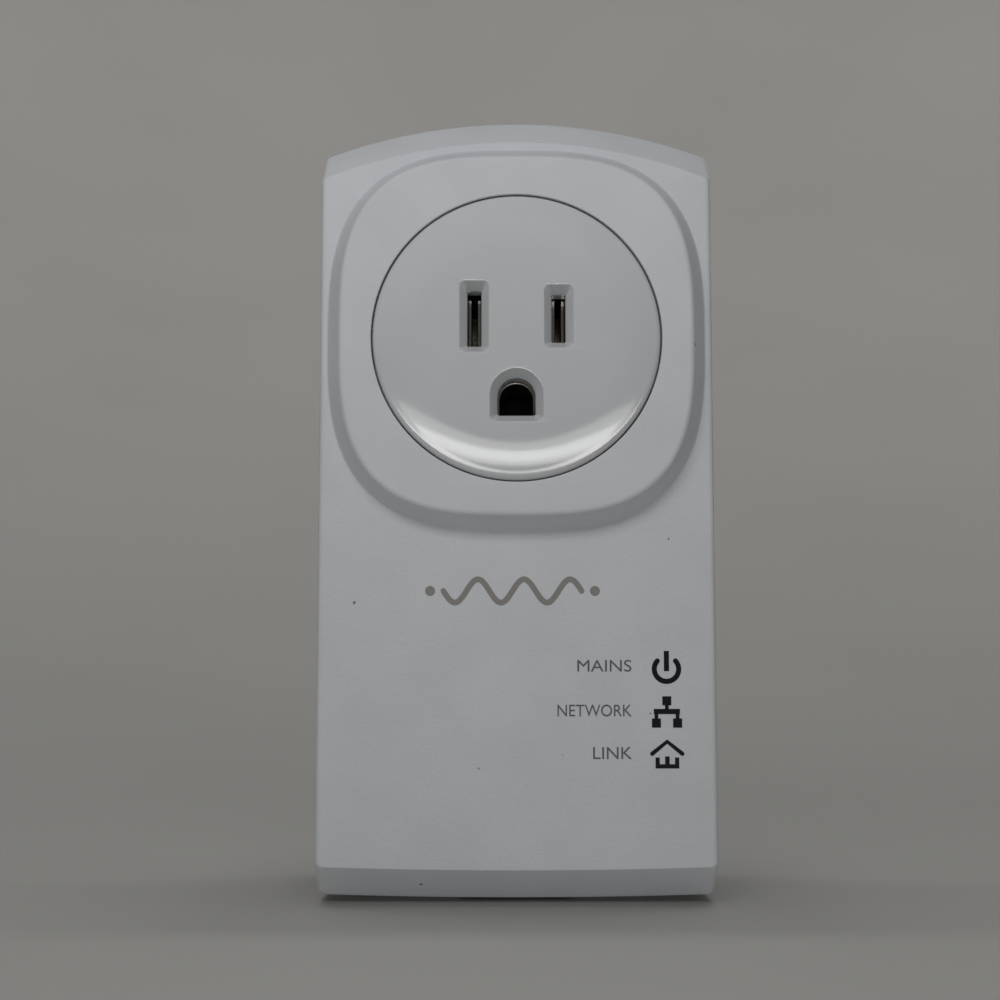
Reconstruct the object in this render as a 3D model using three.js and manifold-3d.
// A pass-through powerline adapter: a housing that plugs into a wall socket, with a socket
// on its front, a network port and a pairing button on its lower end, and its circuit inside.
// Millimetres. Seen on its wall, +X is right, -Y is the front and +Z is up.
// The origin is on the wall side, midway between the two line blades.
import * as THREE from "three";
import { mergeVertices } from "three/addons/utils/BufferGeometryUtils.js";
import Module from "manifold-3d";

const wasm = await Module();
wasm.setup();

// ---- Driving dimensions ----

const GAP = 0.3; // clearance between pieces that touch
const WALL = 2; // thickness of the housing

// Housing
const HALF_WIDTH = 30;
const TOP_Z = 33.2;
const BOTTOM_Z = -87;
const TOP_RADIUS = 83.5; // the bow of the upper end
const BOTTOM_RADIUS = 900; // the slight bow of the lower end
const CORNER_RADIUS = 1.2;
const FRONT_Y = -37.8;
const CHAMFER_DEPTH = 5.3; // the slope at both ends of the front, along Y
const CHAMFER_RISE = 4.8; // and along Z
const FRONT_EDGE = 0.9; // rounding of the long front edges
const BACK_EDGE = 1;
const EDGE_STEPS = 2; // facets across a rounded edge
const BACK_WALL = 2.2;
const SEAM_Y = -10; // where the two shells meet
const LIP_DEPTH = 2.6; // how far the rear shell's lip reaches into the front shell
const LIP_THICKNESS = 1.2;

// Raised field around the socket
const FIELD = { z: -2.4, halfWidth: 26.5, halfHeight: 27.2, power: 3.1, height: 4.2, flare: 2.7 };
const FIELD_Y = FRONT_Y - FIELD.height;

// Round socket face
const FACE_Z = -2.9;
const FACE_RADIUS = 21.7;
const FACE_SEGMENTS = 48;
const FACE_FLAT_RADIUS = 14;
const FACE_Y = FIELD_Y - 1.2;
const FACE_BACK_Y = -38.2;
const FLANGE_RADIUS = 23.6;
const FLANGE_Y = FIELD_Y + WALL + GAP;

// Socket and plug: 15 A, 125 V, with the line openings half an inch apart
const LINE_X = 6.35;
const GROUND_Z = -11.9;
const SLOT_WIDTH = 2.1;
const NEUTRAL_SLOT_HEIGHT = 8.5;
const HOT_SLOT_HEIGHT = 7.3;
const GROUND_HOLE_RADIUS = 2.85;
const FUNNEL_RUN = 1.15;
const FUNNEL_DEPTH = 2.1;
const BLADE_THICKNESS = 1.5;
const BLADE_REACH = 17;
const NEUTRAL_BLADE_HEIGHT = 7.9;
const HOT_BLADE_HEIGHT = 6.3;
const GROUND_PIN_RADIUS = 2.4;
const GROUND_PIN_REACH = 21.3;
const BLADE_ROOT_Y = -13.5;

// Contact carrier, behind the socket face
const CARRIER = { z: -4.7, halfWidth: 13.5, halfHeight: 13.8, corner: 2 };
const CARRIER_Y = [FACE_BACK_Y + GAP, -22];
const CARRIER_BACK = 2; // thickness of the wall behind the ground contact
const CHAMBER_HALF_WIDTH = 2.6;
const CHAMBER_SPARE = 0.95; // room above and below each line opening
const GROUND_CHAMBER_RADIUS = 4.4;
const EAR_Y = [-33.5, -31.7];
const EAR_SCREW_Z = [26.5, -31.5];
const EAR_HALF_WIDTH = 5;

// Contacts and the bars behind them
const CONTACT_Y = CARRIER_Y[0] + 0.5; // their front edge
const LEAF_THICKNESS = 0.5;
const LEAF_HALF_HEIGHT = 3.6;
const GROUND_ARCH = { inner: 2.6, outer: 3.2, backY: -26 };
const TAIL_Y = -21;
const TAIL_HALF_HEIGHT = 2.5;
const GROUND_TAIL_Z = GROUND_Z + (GROUND_ARCH.inner + GROUND_ARCH.outer) / 2;
const BAR_THICKNESS = 0.8;

// Circuit board and what stands on its front
const BOARD_Y = [-14.6, -13];
const MOUNT_Y = BOARD_Y[0] - GAP; // where the parts' undersides are
const BOARD_SCREWS = [[-23.6, -41], [23.4, -46]];
const STANDOFF_RADIUS = 2.4;
const SHEET_Y = [-12.3, -11.8]; // the insulation sheet behind the board

// Case screws
const CASE_SCREWS = [[-23.6, 22], [23.6, 22], [-23.6, -79.3], [23.6, -79.3]];
const CASE_SCREW_SEAT_Y = -3;
const BOSS_RADIUS = 2.6;
const POST_RADIUS = 4; // the rear shell's columns round the case screws
const HEAD_HOLE_RADIUS = 3;
const SHANK_HOLE_RADIUS = 1.6;
const PILOT_RADIUS = 1.4; // bores for the small screws
const BORE_DEPTH = 8;

// Lower end: network port in the middle, pairing button and reset hole beside it
const PORT_Y = [-28.2, -15];
const PORT_HALF_WIDTH = 7.6;
const PORT_Z = [-86.4, -70.4];
const SHIELD_THICKNESS = 0.3;
const BUTTON_X = 16.5;
const BUTTON_Y = -21.5;
const BUTTON_RADIUS = 3;
const SWITCH_Z = [-82, -77];
const RESET_HOLE_RADIUS = 0.9;

// Vents
const SIDE_VENTS = { from: -68, pitch: 4, count: 9, y: [-29, -15], height: 1.7 };
const BACK_VENTS = { from: -70, pitch: 4.5, count: 6, halfLength: 13, height: 1.9 };

// Status lights, at the right edge of the front
const LIGHT_X = 22.5;
const LIGHTS = { power: -52.6, network: -59, data: -65.2 };

// ---- Materials ----

function material(color, roughness, metalness = 0) {
  return new THREE.MeshStandardMaterial({ color, roughness, metalness });
}
const housingPlastic = material(0xe6e8ea, 0.55);
const facePlastic = material(0xeceef0, 0.15);
const buttonPlastic = material(0xdfe1e3, 0.4);
const innerPlastic = material(0x35383c, 0.6);
const beigePlastic = material(0xd8d0bc, 0.6);
const clearPlastic = material(0xf2f5f7, 0.1);
const brass = material(0xb8924a, 0.35, 1);
const contactMetal = material(0xaaa594, 0.35, 1);
const nickel = material(0xc2c2be, 0.3, 1);
const steel = material(0x9a9c9e, 0.35, 1);
const boardResin = material(0x1f6b3c, 0.5);
const ferrite = material(0x2e2e31, 0.7);
const winding = material(0xe0b23c, 0.5);
const chipEpoxy = material(0x1c1d20, 0.5);
const capacitorSleeve = material(0x20242c, 0.45);
const filmCapacitor = material(0xd8a526, 0.5);
const varistorCoat = material(0x2f62a8, 0.5);
const aluminium = material(0xb4b7ba, 0.4, 1);
const insulation = material(0xe8e4d4, 0.6);

// ---- Building blocks ----

// A geometry as a closed solid with its faces outwards.
function solid(geometry) {
  const bare = geometry.clone();
  bare.deleteAttribute("normal");
  bare.deleteAttribute("uv");
  const merged = mergeVertices(bare, 1e-4);
  const corners = merged.index.array;
  const kept = [];
  for (let i = 0; i < corners.length; i += 3) {
    const [a, b, c] = [corners[i], corners[i + 1], corners[i + 2]];
    if (a !== b && b !== c && c !== a) kept.push([a, b, c]);
  }
  const build = (triangles) => {
    const triVerts = new Uint32Array(triangles.flat());
    const vertProperties = merged.attributes.position.array;
    return new wasm.Manifold(new wasm.Mesh({ numProp: 3, vertProperties, triVerts }));
  };
  const made = build(kept);
  return made.volume() > 0 ? made : build(kept.map(([a, b, c]) => [a, c, b]));
}

// Rings of equally many points, joined one to the next and capped at both ends.
function loft(rings) {
  const count = rings[0].length;
  const points = rings.flat();
  const faces = [];
  for (let ring = 0; ring < rings.length - 1; ring++) {
    for (let i = 0; i < count; i++) {
      const a = ring * count + i;
      const b = ring * count + ((i + 1) % count);
      faces.push(a, b, b + count, a, b + count, a + count);
    }
  }
  for (const ring of [0, rings.length - 1]) {
    const centre = points.length;
    const sum = rings[ring].reduce((total, p) => total.add(p), new THREE.Vector3());
    points.push(sum.divideScalar(count));
    for (let i = 0; i < count; i++) {
      const a = ring * count + i;
      const b = ring * count + ((i + 1) % count);
      faces.push(...(ring ? [a, b, centre] : [b, a, centre]));
    }
  }
  return solid(new THREE.BufferGeometry().setFromPoints(points).setIndex(faces));
}

// A flat outline in X and Z, set at a depth Y.
function ringAt(outline, y) {
  return outline.map((p) => new THREE.Vector3(p.x, y, p.y));
}

function block([x0, x1], [y0, y1], [z0, z1]) {
  const box = new THREE.BoxGeometry(x1 - x0, y1 - y0, z1 - z0);
  return solid(box.translate((x0 + x1) / 2, (y0 + y1) / 2, (z0 + z1) / 2));
}

// Turns of the axes that stand an outline drawn in x and y on another plane.
const ALONG_X = new THREE.Matrix4().makeBasis(
  new THREE.Vector3(0, 1, 0),
  new THREE.Vector3(0, 0, 1),
  new THREE.Vector3(1, 0, 0),
);
const ALONG_Y = new THREE.Matrix4().makeRotationX(Math.PI / 2);

// An outline in Y and Z swept along X.
function prismX(shape, [from, to]) {
  const swept = new THREE.ExtrudeGeometry(shape, { depth: to - from, bevelEnabled: false });
  return solid(swept.applyMatrix4(ALONG_X).translate(from, 0, 0));
}

// An outline in X and Z swept along Y.
function prismY(shape, [from, to]) {
  const swept = new THREE.ExtrudeGeometry(shape, { depth: to - from, bevelEnabled: false });
  return solid(swept.applyMatrix4(ALONG_Y).translate(0, to, 0));
}

// An outline in X and Y swept along Z.
function prismZ(shape, [from, to]) {
  const swept = new THREE.ExtrudeGeometry(shape, { depth: to - from, bevelEnabled: false });
  return solid(swept.translate(0, 0, from));
}

function vectors(pairs) {
  return pairs.map(([x, y]) => new THREE.Vector2(x, y));
}

// A profile of [radius, y] pairs turned about an axis along Y through x, z.
function turnY(profile, x, z, segments = 16) {
  const turned = new THREE.LatheGeometry(vectors(profile), segments);
  return solid(turned.translate(x, 0, z));
}

// The same, turned about an axis along Z through x, y.
function turnZ(profile, x, y, segments = 16) {
  const turned = new THREE.LatheGeometry(vectors(profile), segments);
  return solid(turned.rotateX(Math.PI / 2).translate(x, y, 0));
}

function rodProfile(radius, [from, to]) {
  return [[0, from], [radius, from], [radius, to], [0, to]];
}

function roundRect(x, y, halfWidth, halfHeight, radius, steps = 4) {
  const points = [];
  const corners = [[1, 1, 0], [-1, 1, 1], [-1, -1, 2], [1, -1, 3]];
  for (const [sx, sy, quarter] of corners) {
    for (let i = 0; i <= steps; i++) {
      const angle = ((quarter + i / steps) * Math.PI) / 2;
      points.push([
        x + sx * (halfWidth - radius) + radius * Math.cos(angle),
        y + sy * (halfHeight - radius) + radius * Math.sin(angle),
      ]);
    }
  }
  return vectors(points);
}

// A strip of sheet metal bent along a path, seen on its edge.
function bentStrip(pairs, thickness) {
  const path = vectors(pairs);
  const side = (sign) =>
    path.map((point, i) => {
      const before = point.clone().sub(path[Math.max(i - 1, 0)]);
      const after = path[Math.min(i + 1, path.length - 1)].clone().sub(point);
      const inward = (before.length() ? before : after).clone().normalize();
      const outward = (after.length() ? after : before).clone().normalize();
      const along = inward.clone().add(outward).normalize();
      const reach = thickness / 2 / along.dot(inward);
      return new THREE.Vector2(point.x - sign * along.y * reach, point.y + sign * along.x * reach);
    });
  return new THREE.Shape([...side(1), ...side(-1).reverse()]);
}

// ---- The assembly: a group for each part of the adapter ----

const adapter = new THREE.Group();
const housing = new THREE.Group();
const socket = new THREE.Group();
const plug = new THREE.Group();
const circuit = new THREE.Group();
const lowerEnd = new THREE.Group();
adapter.add(housing, socket, plug, circuit, lowerEnd);

function place(group, name, body, look) {
  const mesh = body.getMesh();
  const geometry = new THREE.BufferGeometry();
  geometry.setAttribute("position", new THREE.BufferAttribute(mesh.vertProperties, 3));
  geometry.setIndex(new THREE.BufferAttribute(mesh.triVerts, 1));
  geometry.computeVertexNormals();
  const piece = new THREE.Mesh(geometry, look);
  piece.name = name;
  group.add(piece);
  return piece;
}

// ---- Housing ----

function sagitta(radius, halfChord) {
  return radius - Math.sqrt(radius * radius - halfChord * halfChord);
}

// The height of the lower end's outer surface at a distance from the middle.
function lowerSurfaceZ(x) {
  return BOTTOM_Z + sagitta(BOTTOM_RADIUS, x);
}

// One bowed end with its two rounded corners, from the right side to the left, bulging up.
function bowedEnd(halfWidth, apexZ, bow, corner) {
  const bowSteps = 10;
  const cornerSteps = 2;
  const centreZ = apexZ - bow;
  const cornerX = halfWidth - corner;
  const cornerZ = centreZ + Math.sqrt((bow - corner) ** 2 - cornerX ** 2);
  const tangent = Math.atan2(cornerZ - centreZ, cornerX);
  const points = [];
  for (let i = 0; i <= cornerSteps; i++) {
    const angle = (tangent * i) / cornerSteps;
    points.push([cornerX + corner * Math.cos(angle), cornerZ + corner * Math.sin(angle)]);
  }
  for (let i = 1; i < bowSteps; i++) {
    const angle = tangent + ((Math.PI - 2 * tangent) * i) / bowSteps;
    points.push([bow * Math.cos(angle), centreZ + bow * Math.sin(angle)]);
  }
  for (let i = cornerSteps; i >= 0; i--) {
    const angle = (tangent * i) / cornerSteps;
    points.push([-cornerX - corner * Math.cos(angle), cornerZ + corner * Math.sin(angle)]);
  }
  return points;
}

// The housing's outline in X and Z, drawn in from its sides and from its ends.
function housingOutline(sideInset, endInset) {
  const halfWidth = HALF_WIDTH - sideInset;
  const corner = Math.max(CORNER_RADIUS - sideInset, 0.3);
  const top = bowedEnd(halfWidth, TOP_Z - endInset, TOP_RADIUS - endInset, corner);
  const bottom = bowedEnd(halfWidth, -BOTTOM_Z - endInset, BOTTOM_RADIUS - endInset, corner);
  return vectors([...top, ...bottom.map(([x, z]) => [-x, -z])]);
}

// A loft of the housing's outline through stations of [y, side inset, end inset].
function housingLoft(stations) {
  return loft(stations.map(([y, side, end]) => ringAt(housingOutline(side, end), y)));
}

const CHAMFER_Y = FRONT_Y + CHAMFER_DEPTH;

function chamferInset(y) {
  return (CHAMFER_RISE * (CHAMFER_Y - y)) / CHAMFER_DEPTH;
}

function frontOuter() {
  const stations = [[SEAM_Y - GAP / 2, 0, 0], [CHAMFER_Y, 0, 0]];
  for (let i = 0; i <= EDGE_STEPS; i++) {
    const angle = (Math.PI / 2) * (i / EDGE_STEPS);
    const y = FRONT_Y + FRONT_EDGE * (1 - Math.sin(angle));
    stations.push([y, FRONT_EDGE * (1 - Math.cos(angle)), chamferInset(y)]);
  }
  return housingLoft(stations);
}

// The hollow keeps the wall's thickness behind the slopes too.
function frontHollow() {
  const slopeShift = (WALL * Math.hypot(CHAMFER_DEPTH, CHAMFER_RISE)) / CHAMFER_DEPTH;
  const slopeStartY = CHAMFER_Y + ((slopeShift - WALL) * CHAMFER_DEPTH) / CHAMFER_RISE;
  const innerY = FRONT_Y + WALL;
  return housingLoft([
    [SEAM_Y + 1, WALL, WALL],
    [slopeStartY, WALL, WALL],
    [innerY, WALL, chamferInset(innerY) + slopeShift],
  ]);
}

function superellipse(halfWidth, halfHeight, power, count = 48) {
  const points = [];
  for (let i = 0; i < count; i++) {
    const angle = (2 * Math.PI * i) / count;
    const [c, s] = [Math.cos(angle), Math.sin(angle)];
    points.push([
      halfWidth * Math.sign(c) * Math.abs(c) ** (2 / power),
      FIELD.z + halfHeight * Math.sign(s) * Math.abs(s) ** (2 / power),
    ]);
  }
  return vectors(points);
}

// The raised field: [outward offset, height above the front] from its foot to its top.
function fieldLoft(profile) {
  const rings = profile.map(([offset, height]) => {
    const power = FIELD.power - 0.07 * offset;
    const outline = superellipse(FIELD.halfWidth + offset, FIELD.halfHeight + offset, power);
    return ringAt(outline, FRONT_Y - height);
  });
  return loft(rings);
}

function fieldOuter() {
  const { flare, height } = FIELD;
  return fieldLoft([
    [flare, -0.6],
    [flare, 0.05],
    [flare * 0.86, 0.45],
    [flare * 0.16, height - 0.55],
    [flare * 0.03, height - 0.15],
    [-0.4, height],
  ]);
}

function fieldHollow() {
  return fieldLoft([[-WALL, -WALL - 1], [-WALL, FIELD.height - WALL]]);
}

function slotShape(centreX, centreY, halfLength, halfHeight) {
  return new THREE.Shape(roundRect(centreX, centreY, halfLength, halfHeight, halfHeight - 0.01, 2));
}

function sideVents() {
  const { from, pitch, count, y, height } = SIDE_VENTS;
  const cutters = [];
  for (let i = 0; i < count; i++) {
    const shape = slotShape((y[0] + y[1]) / 2, from + i * pitch, (y[1] - y[0]) / 2, height / 2);
    cutters.push(prismX(shape, [-HALF_WIDTH - 1, HALF_WIDTH + 1]));
  }
  return cutters;
}

function frontCover() {
  let cover = frontOuter().add(fieldOuter()).subtract(frontHollow()).subtract(fieldHollow());
  const bossFoot = FRONT_Y + WALL - 1;
  for (const [x, z] of CASE_SCREWS)
    cover = cover.add(turnY(rodProfile(BOSS_RADIUS, [bossFoot, SEAM_Y - GAP / 2]), x, z));
  for (const z of EAR_SCREW_Z)
    cover = cover.add(turnY(rodProfile(BOSS_RADIUS, [bossFoot, EAR_Y[0] - GAP]), 0, z));
  for (const [x, z] of CASE_SCREWS)
    cover = cover.subtract(turnY(rodProfile(SHANK_HOLE_RADIUS, [SEAM_Y - BORE_DEPTH, SEAM_Y + 1]), x, z, 12));
  for (const z of EAR_SCREW_Z)
    cover = cover.subtract(turnY(rodProfile(PILOT_RADIUS, [FRONT_Y + 1, EAR_Y[0] + 1]), 0, z, 12));
  const faceHole = rodProfile(FACE_RADIUS + 0.2, [FIELD_Y - 1, FRONT_Y]);
  const portHalfWidth = PORT_HALF_WIDTH + 2 * GAP + SHIELD_THICKNESS;
  const portDepth = [PORT_Y[0] - 2 * GAP - SHIELD_THICKNESS, PORT_Y[1] + GAP];
  const throughEnd = [BOTTOM_Z - 1, BOTTOM_Z + WALL + 1];
  const cutters = [
    turnY(faceHole, 0, FACE_Z, FACE_SEGMENTS),
    block([-portHalfWidth, portHalfWidth], portDepth, throughEnd),
    turnZ(rodProfile(BUTTON_RADIUS + GAP, throughEnd), BUTTON_X, BUTTON_Y),
    turnZ(rodProfile(RESET_HOLE_RADIUS, throughEnd), -BUTTON_X, BUTTON_Y, 12),
    ...sideVents(),
  ];
  return cutters.reduce((body, cutter) => body.subtract(cutter), cover);
}

function backVents() {
  const { from, pitch, count, halfLength, height } = BACK_VENTS;
  const cutters = [];
  for (let i = 0; i < count; i++) {
    const shape = slotShape(0, from + i * pitch, halfLength, height / 2);
    cutters.push(prismY(shape, [-BACK_WALL - 1, 1]));
  }
  return cutters;
}

function rearHousing() {
  const frontEdge = SEAM_Y + GAP / 2;
  const stations = [[frontEdge, 0, 0]];
  for (let i = 0; i <= EDGE_STEPS; i++) {
    const angle = (Math.PI / 2) * (i / EDGE_STEPS);
    const inset = BACK_EDGE * (1 - Math.cos(angle));
    stations.push([-BACK_EDGE * (1 - Math.sin(angle)), inset, inset]);
  }
  const lipY = SEAM_Y - LIP_DEPTH;
  const lipOuter = WALL + GAP;
  const lipInner = lipOuter + LIP_THICKNESS;
  const lipRoot = frontEdge + 1.5;
  const lip = housingLoft([[lipY, lipOuter, lipOuter], [lipRoot, lipOuter, lipOuter]])
    .add(housingLoft([[frontEdge, WALL / 2, WALL / 2], [lipRoot, WALL / 2, WALL / 2]]))
    .subtract(housingLoft([[lipY - 1, lipInner, lipInner], [lipRoot + 1, lipInner, lipInner]]));
  let shell = housingLoft(stations)
    .subtract(housingLoft([[frontEdge - 1, WALL, WALL], [-BACK_WALL, WALL, WALL]]))
    .add(lip);
  for (const [x, z] of CASE_SCREWS)
    shell = shell.add(turnY(rodProfile(POST_RADIUS, [frontEdge, -BACK_WALL + 1]), x, z));
  for (const [x, z] of BOARD_SCREWS)
    shell = shell.add(turnY(rodProfile(STANDOFF_RADIUS, [BOARD_Y[1] + GAP, -BACK_WALL + 1]), x, z));
  for (const [x, z] of CASE_SCREWS) {
    const shankHole = rodProfile(SHANK_HOLE_RADIUS, [SEAM_Y - 1, 1]);
    const headHole = rodProfile(HEAD_HOLE_RADIUS, [CASE_SCREW_SEAT_Y, 1]);
    shell = shell.subtract(turnY(shankHole, x, z)).subtract(turnY(headHole, x, z));
  }
  for (const [x, z] of BOARD_SCREWS)
    shell = shell.subtract(turnY(rodProfile(PILOT_RADIUS, [BOARD_Y[0], BOARD_Y[0] + BORE_DEPTH]), x, z, 12));
  const throughBack = [-BACK_WALL - 1, 1];
  const bladeSlot = (x, height) => {
    const half = [BLADE_THICKNESS / 2 + GAP, height / 2 + GAP];
    return block([x - half[0], x + half[0]], throughBack, [-half[1], half[1]]);
  };
  const cutters = [
    bladeSlot(-LINE_X, NEUTRAL_BLADE_HEIGHT),
    bladeSlot(LINE_X, HOT_BLADE_HEIGHT),
    turnY(rodProfile(GROUND_PIN_RADIUS + GAP, throughBack), 0, GROUND_Z),
    ...backVents(),
  ];
  return cutters.reduce((body, cutter) => body.subtract(cutter), shell);
}

// A cross-head screw with its seat at y = 0 and its shank towards -Y.
function screw(headRadius, headHeight, shankRadius, length) {
  const profile = [
    [0, -length],
    [shankRadius * 0.5, -length],
    [shankRadius, -length + shankRadius],
    [shankRadius, 0],
    [headRadius, 0],
    [headRadius, headHeight * 0.6],
    [headRadius * 0.75, headHeight],
    [0, headHeight],
  ];
  const arm = headRadius * 0.55;
  const depth = [headHeight * 0.35, headHeight + 1];
  const cross = block([-arm, arm], depth, [-0.3, 0.3]).add(block([-0.3, 0.3], depth, [-arm, arm]));
  return turnY(profile, 0, 0, 12).subtract(cross);
}

place(housing, "front_cover", frontCover(), housingPlastic);
place(housing, "rear_housing", rearHousing(), housingPlastic);
CASE_SCREWS.forEach(([x, z], i) => {
  const piece = place(housing, "case_screw_" + (i + 1), screw(2.5, 1.6, 1.25, 13), steel);
  piece.position.set(x, CASE_SCREW_SEAT_Y + GAP, z);
});

// ---- Socket: face, contact carrier and contacts ----

function funnel(innerOutline, outerOutline) {
  const throatY = FACE_Y + FUNNEL_DEPTH;
  return loft([
    ringAt(outerOutline, FACE_Y - 0.5),
    ringAt(outerOutline, FACE_Y),
    ringAt(innerOutline, throatY),
    ringAt(innerOutline, FACE_BACK_Y + 1),
  ]);
}

function lineOpening(x, height) {
  const half = [SLOT_WIDTH / 2, height / 2];
  return funnel(
    roundRect(x, 0, half[0], half[1], 0.15),
    roundRect(x, 0, half[0] + FUNNEL_RUN, half[1] + FUNNEL_RUN, 0.8),
  );
}

// The ground opening: a half round above, square below.
function groundOutline(grow) {
  const radius = GROUND_HOLE_RADIUS + grow;
  const corner = 0.3 + grow / 2;
  const points = [];
  for (let i = 0; i <= 10; i++) {
    const angle = (Math.PI * i) / 10;
    points.push([radius * Math.cos(angle), GROUND_Z + radius * Math.sin(angle)]);
  }
  for (const [side, start] of [[-1, Math.PI], [1, 1.5 * Math.PI]]) {
    for (let i = 0; i <= EDGE_STEPS; i++) {
      const angle = start + (Math.PI / 2) * (i / EDGE_STEPS);
      const centreX = side * (radius - corner);
      const centreZ = GROUND_Z - radius + corner;
      points.push([centreX + corner * Math.cos(angle), centreZ + corner * Math.sin(angle)]);
    }
  }
  return vectors(points);
}

function outletFace() {
  const rimRadius = FACE_RADIUS - 1.1;
  const rimY = FIELD_Y - 0.35;
  const profile = [[0, FACE_Y], [FACE_FLAT_RADIUS, FACE_Y]];
  const steps = 4;
  for (let i = 1; i <= steps; i++) {
    const t = i / steps;
    const radius = FACE_FLAT_RADIUS + t * (rimRadius - FACE_FLAT_RADIUS);
    profile.push([radius, FACE_Y + t * t * (rimY - FACE_Y)]);
  }
  profile.push([FACE_RADIUS - 0.4, FIELD_Y - 0.1]);
  profile.push([FACE_RADIUS, FIELD_Y + 0.4]);
  profile.push([FACE_RADIUS, FLANGE_Y], [FLANGE_RADIUS, FLANGE_Y]);
  profile.push([FLANGE_RADIUS, FACE_BACK_Y], [0, FACE_BACK_Y]);
  return turnY(profile, 0, FACE_Z, FACE_SEGMENTS)
    .subtract(lineOpening(-LINE_X, NEUTRAL_SLOT_HEIGHT))
    .subtract(lineOpening(LINE_X, HOT_SLOT_HEIGHT))
    .subtract(funnel(groundOutline(0), groundOutline(1)));
}

function contactCarrier() {
  const through = [CARRIER_Y[0] - 1, CARRIER_Y[1] + 1];
  const chamber = (x, slotHeight) => {
    const halfHeight = slotHeight / 2 + CHAMBER_SPARE;
    return block([x - CHAMBER_HALF_WIDTH, x + CHAMBER_HALF_WIDTH], through, [-halfHeight, halfHeight]);
  };
  const { z: middle, halfWidth, halfHeight, corner } = CARRIER;
  const earMiddle = (EAR_SCREW_Z[0] + EAR_SCREW_Z[1]) / 2;
  const earHalfHeight = EAR_SCREW_Z[0] - earMiddle + BOSS_RADIUS;
  const ears = roundRect(0, earMiddle, EAR_HALF_WIDTH, earHalfHeight, corner);
  let carrier = prismY(new THREE.Shape(roundRect(0, middle, halfWidth, halfHeight, corner)), CARRIER_Y);
  carrier = carrier.add(prismY(new THREE.Shape(ears), EAR_Y));
  for (const z of EAR_SCREW_Z)
    carrier = carrier.subtract(turnY(rodProfile(SHANK_HOLE_RADIUS, [EAR_Y[0] - 1, EAR_Y[1] + 1]), 0, z));
  const groundChamber = rodProfile(GROUND_CHAMBER_RADIUS, [through[0], CARRIER_Y[1] - CARRIER_BACK]);
  const tailSlot = [GROUND_TAIL_Z - 2 * GAP, GROUND_TAIL_Z + 2 * GAP];
  return carrier
    .subtract(chamber(-LINE_X, NEUTRAL_SLOT_HEIGHT))
    .subtract(chamber(LINE_X, HOT_SLOT_HEIGHT))
    .subtract(turnY(groundChamber, 0, GROUND_Z))
    .subtract(block([-1 - GAP, 1 + GAP], through, tailSlot));
}

// Two leaves that pinch a blade, folded from one strip, with a tail to the rear.
function lineContact() {
  const mouth = [0.75, CONTACT_Y];
  const pinch = [0.6, -34.4];
  const shoulder = [1.9, -30];
  const fold = [1.9, -24];
  const right = [mouth, pinch, shoulder, fold];
  const left = right.map(([x, y]) => [-x, y]);
  const leaves = bentStrip([...left, ...right.reverse()], LEAF_THICKNESS);
  const tail = block([-0.4, 0.4], [fold[1], TAIL_Y], [-TAIL_HALF_HEIGHT, TAIL_HALF_HEIGHT]);
  return prismZ(leaves, [-LEAF_HALF_HEIGHT, LEAF_HALF_HEIGHT]).add(tail);
}

// An arch over the ground pin with straight legs, and a tail to the rear.
function groundContact() {
  const { inner, outer, backY } = GROUND_ARCH;
  const footZ = GROUND_Z - inner;
  const arch = new THREE.Shape();
  arch.moveTo(outer, footZ);
  arch.absarc(0, GROUND_Z, outer, 0, Math.PI, false);
  arch.lineTo(-outer, footZ);
  arch.lineTo(-inner, footZ);
  arch.absarc(0, GROUND_Z, inner, Math.PI, 0, true);
  arch.lineTo(inner, footZ);
  const tail = block([-1, 1], [backY - 1, TAIL_Y], [GROUND_TAIL_Z - GAP, GROUND_TAIL_Z + GAP]);
  return prismY(arch, [CONTACT_Y, backY]).add(tail);
}

place(socket, "outlet_face", outletFace(), facePlastic);
place(socket, "contact_carrier", contactCarrier(), innerPlastic);
place(socket, "neutral_contact", lineContact(), contactMetal).position.x = -LINE_X;
place(socket, "hot_contact", lineContact(), contactMetal).position.x = LINE_X;
place(socket, "ground_contact", groundContact(), contactMetal);
["carrier_screw_top", "carrier_screw_bottom"].forEach((name, i) => {
  const piece = place(socket, name, screw(2.3, 1.4, 1.1, 4.8), steel);
  piece.position.set(0, EAR_Y[1] + GAP, EAR_SCREW_Z[i]);
});

// ---- Plug: blades, their block, and the bars that link them to the socket ----

// A blade with a tapered tip, a hole near it, and its root in the blade block.
function blade(height) {
  const taper = 1.6;
  const half = BLADE_THICKNESS / 2;
  const edge = height / 2;
  const outline = new THREE.Shape(vectors([
    [BLADE_ROOT_Y, -edge],
    [BLADE_REACH - taper, -edge],
    [BLADE_REACH, -edge + taper],
    [BLADE_REACH, edge - taper],
    [BLADE_REACH - taper, edge],
    [BLADE_ROOT_Y, edge],
  ]));
  const tip = new THREE.Shape(vectors([
    [-half, BLADE_ROOT_Y - 1],
    [half, BLADE_ROOT_Y - 1],
    [half, BLADE_REACH - taper],
    [half * 0.45, BLADE_REACH],
    [-half * 0.45, BLADE_REACH],
    [-half, BLADE_REACH - taper],
  ]));
  const hole = new THREE.LatheGeometry(vectors(rodProfile(1.55, [-2, 2])), 24).rotateZ(Math.PI / 2);
  return prismX(outline, [-half, half])
    .intersect(prismZ(tip, [-height, height]))
    .subtract(solid(hole.translate(0, BLADE_REACH - 5, 0)));
}

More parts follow.
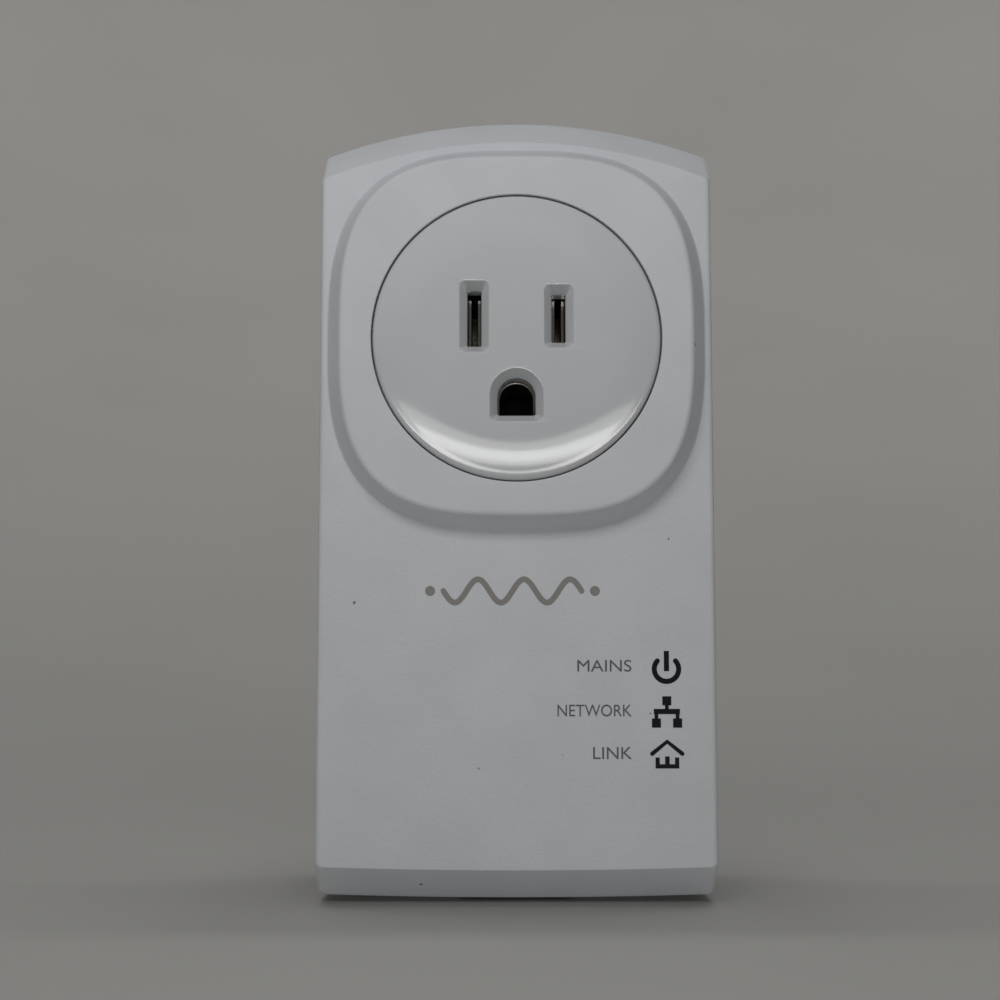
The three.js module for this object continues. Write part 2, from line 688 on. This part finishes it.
function groundPin() {
  const profile = [[0, BLADE_ROOT_Y], [GROUND_PIN_RADIUS, BLADE_ROOT_Y]];
  const shoulder = GROUND_PIN_REACH - GROUND_PIN_RADIUS;
  for (let i = 0; i <= 4; i++) {
    const angle = (Math.PI / 2) * (i / 4);
    profile.push([GROUND_PIN_RADIUS * Math.cos(angle), shoulder + GROUND_PIN_RADIUS * Math.sin(angle)]);
  }
  profile[profile.length - 1][0] = 0;
  return turnY(profile, 0, GROUND_Z);
}

function bladeBlock() {
  const depth = [-12.4, -BACK_WALL - GAP];
  const through = [depth[0] - 1, depth[1] + 1];
  const half = BLADE_THICKNESS / 2 + GAP;
  const slot = (x, height) =>
    block([x - half, x + half], through, [-height / 2 - GAP, height / 2 + GAP]);
  return prismY(new THREE.Shape(roundRect(0, -5.5, 13, 13, 2)), depth)
    .subtract(slot(-LINE_X, NEUTRAL_BLADE_HEIGHT))
    .subtract(slot(LINE_X, HOT_BLADE_HEIGHT))
    .subtract(turnY(rodProfile(GROUND_PIN_RADIUS + GAP, through), 0, GROUND_Z));
}

// From a contact's tail to a blade's root, with a sideways loop between.
function busBar(side) {
  const [near, far] = [LINE_X, LINE_X + 3.2];
  const ends = [TAIL_Y + GAP, BLADE_ROOT_Y - GAP];
  const path = [
    [near, ends[0]],
    [near, ends[0] + 2.1],
    [far, ends[0] + 2.1],
    [far, ends[1] - 2],
    [near, ends[1] - 2],
    [near, ends[1]],
  ];
  const bar = bentStrip(path.map(([x, y]) => [side * x, y]), BAR_THICKNESS);
  return prismZ(bar, [-TAIL_HALF_HEIGHT, TAIL_HALF_HEIGHT]);
}

function groundStrap() {
  const ends = [TAIL_Y + GAP, BLADE_ROOT_Y - GAP];
  const step = (ends[0] + ends[1]) / 2;
  const path = [[ends[0], GROUND_TAIL_Z], [step, GROUND_TAIL_Z], [step, GROUND_Z], [ends[1], GROUND_Z]];
  return prismX(bentStrip(path, BAR_THICKNESS), [-2, 2]);
}

place(plug, "neutral_blade", blade(NEUTRAL_BLADE_HEIGHT), nickel).position.x = -LINE_X;
place(plug, "hot_blade", blade(HOT_BLADE_HEIGHT), nickel).position.x = LINE_X;
place(plug, "ground_pin", groundPin(), nickel);
place(plug, "blade_block", bladeBlock(), innerPlastic);
place(plug, "neutral_bus_bar", busBar(-1), brass);
place(plug, "hot_bus_bar", busBar(1), brass);
place(plug, "ground_strap", groundStrap(), brass);

// ---- Circuit ----

const BOARD_OUTLINE = {
  halfWidth: 26.2,
  narrowHalfWidth: 20.3,
  top: -20.5,
  shoulder: -75.8,
  bottom: -83.5,
};

function boardShape(inset) {
  const { halfWidth, narrowHalfWidth, top, shoulder, bottom } = BOARD_OUTLINE;
  const [wide, narrow] = [halfWidth - inset, narrowHalfWidth - inset];
  return new THREE.Shape(vectors([
    [wide, top - inset],
    [-wide, top - inset],
    [-wide, shoulder + inset],
    [-narrow, shoulder + inset],
    [-narrow, bottom + inset],
    [narrow, bottom + inset],
    [narrow, shoulder + inset],
    [wide, shoulder + inset],
  ]));
}

function drilled(body, holeRadius) {
  return BOARD_SCREWS.reduce(
    (rest, [x, z]) => rest.subtract(turnY(rodProfile(holeRadius, [-16, -10]), x, z, 10)),
    body,
  );
}

// A round part that stands on the board with its top towards the front.
function standingCan(x, z, radius, height) {
  const top = MOUNT_Y - height;
  const groove = MOUNT_Y - 1.6;
  const profile = [
    [0, top],
    [radius - 0.5, top],
    [radius, top + 0.5],
    [radius, groove - 0.5],
    [radius - 0.35, groove],
    [radius, groove + 0.5],
    [radius, MOUNT_Y],
    [0, MOUNT_Y],
  ];
  return turnY(profile, x, z);
}

// A box-shaped part on the board: its middle, its size along X and Z, and its height.
function onBoard([x, z], [width, length], height, standOff = 0, radius = 0.4) {
  const outline = roundRect(x, z, width / 2, length / 2, radius, 2);
  return prismY(new THREE.Shape(outline), [MOUNT_Y - standOff - height, MOUNT_Y - standOff]);
}

const TRANSFORMER = { x: -11, y: -23.4, z: -41 };

function transformerCore() {
  const { x, y, z } = TRANSFORMER;
  const depth = [y - 5, y + 5];
  const window = (side) => {
    const reach = [x + side * 2.7, x + side * 8].sort((a, b) => a - b);
    return block(reach, [y - 6, y + 6], [z - 6.4, z + 6.4]);
  };
  return block([x - 9.5, x + 9.5], depth, [z - 9, z + 9]).subtract(window(-1)).subtract(window(1));
}

function transformerWinding() {
  const { x, y, z } = TRANSFORMER;
  const outer = block([x - 7.6, x + 7.6], [y - 8.2, y + 8.2], [z - 6.1, z + 6.1]);
  return outer.subtract(block([x - 3, x + 3], [y - 5.3, y + 5.3], [z - 7, z + 7]));
}

function choke(x, z) {
  const [inner, outer, height, round] = [2.6, 6.8, 8, 1];
  const [near, far] = [MOUNT_Y - 0.6 - height, MOUNT_Y - 0.6];
  const ring = [
    [inner, near + round],
    [inner + round, near],
    [outer - round, near],
    [outer, near + round],
    [outer, far - round],
    [outer - round, far],
    [inner + round, far],
    [inner, far - round],
    [inner, near + round],
  ];
  return turnY(ring, x, z);
}

function varistor(x, z) {
  const [radius, half, round] = [5, 1.8, 0.8];
  const profile = [
    [0, -half],
    [radius - round, -half],
    [radius, round - half],
    [radius, half - round],
    [radius - round, half],
    [0, half],
  ];
  const disc = new THREE.LatheGeometry(vectors(profile), 16);
  return solid(disc.rotateZ(Math.PI / 2).translate(x, MOUNT_Y - radius - 0.4, z));
}

// A finned sink: a base plate with upright fins.
function heatSink([x, z], size, standOff) {
  const base = onBoard([x, z], [size, size], 1.5, standOff, 0.2);
  const finTop = MOUNT_Y - standOff - 8;
  const count = 6;
  let sink = base;
  for (let i = 0; i < count; i++) {
    const left = x - size / 2 + (i * (size - 1)) / (count - 1);
    sink = sink.add(block([left, left + 1], [finTop, MOUNT_Y - standOff - 1], [z - size / 2, z + size / 2]));
  }
  return sink;
}

function lightPipe(z) {
  const [lens, rod] = [2.4, 1.2];
  const front = FRONT_Y + WALL + GAP;
  const back = MOUNT_Y - 1.9;
  const cone = [[lens, front + 1.2], [rod, front + 2.6]];
  const profile = [[0, front], [lens, front], ...cone, [rod, back], [0, back]];
  return turnY(profile, LIGHT_X, z, 10);
}

const chipHeight = 1.1;
const modemChip = [-6, -60.8];
place(circuit, "main_board", drilled(prismY(boardShape(0), BOARD_Y), 1.7), boardResin);
place(circuit, "insulation_sheet", drilled(prismY(boardShape(0.6), SHEET_Y), 2.8), insulation);
place(circuit, "transformer_core", transformerCore(), ferrite);
place(circuit, "transformer_winding", transformerWinding(), winding);
place(circuit, "bulk_capacitor", standingCan(17, -37, 6.3, 18.4), capacitorSleeve);
place(circuit, "output_capacitor", standingCan(12.9, -50, 4, 12), capacitorSleeve);
place(circuit, "filter_capacitor", onBoard([-15.5, -26], [17, 7], 13), filmCapacitor);
place(circuit, "common_mode_choke", choke(4.2, -27.6), winding);
place(circuit, "varistor", varistor(21, -26), varistorCoat);
place(circuit, "fuse", turnZ(rodProfile(2, [-29.5, -21.5]), 14, MOUNT_Y - 2.2, 16), clearPlastic);
place(circuit, "bridge_rectifier", onBoard([3.7, -38.4], [9, 3.4], 9), chipEpoxy);
place(circuit, "coupling_transformer", onBoard([3.5, -47.8], [9, 9.4], 7.6), ferrite);
place(circuit, "coupling_capacitor", onBoard([-19.4, -55], [11.4, 5], 9.5), filmCapacitor);
place(circuit, "modem_chip", onBoard(modemChip, [12, 12], chipHeight), chipEpoxy);
place(circuit, "heat_sink", heatSink(modemChip, 13, chipHeight + GAP), aluminium);
place(circuit, "ethernet_chip", onBoard([6.5, -60.8], [7, 7], chipHeight), chipEpoxy);
place(circuit, "memory_chip", onBoard([-20.5, -63.5], [6, 8], chipHeight), chipEpoxy);
place(circuit, "crystal", onBoard([-20.3, -71], [5, 3.2], 1.3, 0, 1), nickel);
place(circuit, "isolation_transformer", onBoard([15, -65.5], [7.4, 13], 4.6), chipEpoxy);
for (const [name, z] of Object.entries(LIGHTS)) {
  place(circuit, name + "_led", onBoard([LIGHT_X, z], [2.2, 1.7], 1.3), clearPlastic);
  place(circuit, name + "_light_pipe", lightPipe(z), clearPlastic);
}
BOARD_SCREWS.forEach(([x, z], i) => {
  const piece = place(circuit, "board_screw_" + (i + 1), screw(2.2, 1.3, 1.1, 7), steel);
  piece.rotation.z = Math.PI;
  piece.position.set(x, BOARD_Y[0] - GAP, z);
});

// ---- Lower end: network port, pairing button and reset switch ----

function portBody() {
  const outer = block([-PORT_HALF_WIDTH, PORT_HALF_WIDTH], PORT_Y, PORT_Z);
  const depth = [PORT_Z[0] - 1, PORT_Z[0] + 13];
  const plugSpace = block([-5.95, 5.95], [-26.7, -19.6], depth);
  const latchSpace = block([-3.1, 3.1], [-20, -17.2], depth);
  return outer.subtract(plugSpace).subtract(latchSpace);
}

// A thin metal can round the port, open towards the board and at its mouth.
function portShield() {
  const inner = PORT_HALF_WIDTH + GAP;
  const outer = inner + SHIELD_THICKNESS;
  const frontY = PORT_Y[0] - GAP;
  const backZ = PORT_Z[1] + GAP;
  const can = block(
    [-outer, outer],
    [frontY - SHIELD_THICKNESS, PORT_Y[1]],
    [PORT_Z[0], backZ + SHIELD_THICKNESS],
  );
  return can.subtract(block([-inner, inner], [frontY, PORT_Y[1] + 1], [PORT_Z[0] - 1, backZ]));
}

// Eight sprung fingers on one bar.
function portContacts() {
  const pitch = 1.02;
  let comb = block([-3.9, 3.9], [-26.35, -25.9], [-84.9, -84.2]);
  for (let i = 0; i < 8; i++) {
    const x = (i - 3.5) * pitch;
    const finger = bentStrip([[-26.1, -84.5], [-24.7, -77.5], [-25.3, -76.4]], 0.35);
    comb = comb.add(prismX(finger, [x - 0.25, x + 0.25]));
  }
  return comb;
}

// A box switch with a pocket in its lower side for its plunger.
function switchBody(x, halfWidth, pocketRadius) {
  const depth = [BUTTON_Y - halfWidth, MOUNT_Y];
  const pocket = rodProfile(pocketRadius, [SWITCH_Z[0] - 1, SWITCH_Z[0] + 2]);
  return block([x - halfWidth, x + halfWidth], depth, SWITCH_Z)
    .subtract(turnZ(pocket, x, BUTTON_Y, 12));
}

function syncButton() {
  const wallOuter = lowerSurfaceZ(BUTTON_X);
  const tipZ = wallOuter - 0.7;
  const flangeZ = wallOuter + WALL + GAP;
  return turnZ([
    [0, tipZ],
    [BUTTON_RADIUS * 0.55, tipZ + 0.08],
    [BUTTON_RADIUS - 0.35, tipZ + 0.3],
    [BUTTON_RADIUS, tipZ + 0.65],
    [BUTTON_RADIUS, flangeZ],
    [BUTTON_RADIUS + 0.8, flangeZ],
    [BUTTON_RADIUS + 0.8, flangeZ + 0.7],
    [0, flangeZ + 0.7],
  ], BUTTON_X, BUTTON_Y, 12);
}

place(lowerEnd, "port_body", portBody(), innerPlastic);
place(lowerEnd, "port_shield", portShield(), nickel);
place(lowerEnd, "port_contacts", portContacts(), contactMetal);
place(lowerEnd, "sync_switch", switchBody(BUTTON_X, 3.3, 1.8), innerPlastic);
place(lowerEnd, "reset_switch", switchBody(-BUTTON_X, 2.9, 1.4), innerPlastic);
place(lowerEnd, "sync_button", syncButton(), buttonPlastic);
const plungerTop = SWITCH_Z[0] + 1;
const syncPlunger = turnZ(rodProfile(1.5, [-83.6, plungerTop]), BUTTON_X, BUTTON_Y, 12);
place(lowerEnd, "sync_plunger", syncPlunger, beigePlastic);
const resetPlunger = turnZ(rodProfile(1.1, [-83.4, plungerTop]), -BUTTON_X, BUTTON_Y, 12);
place(lowerEnd, "reset_plunger", resetPlunger, beigePlastic);

export default adapter;
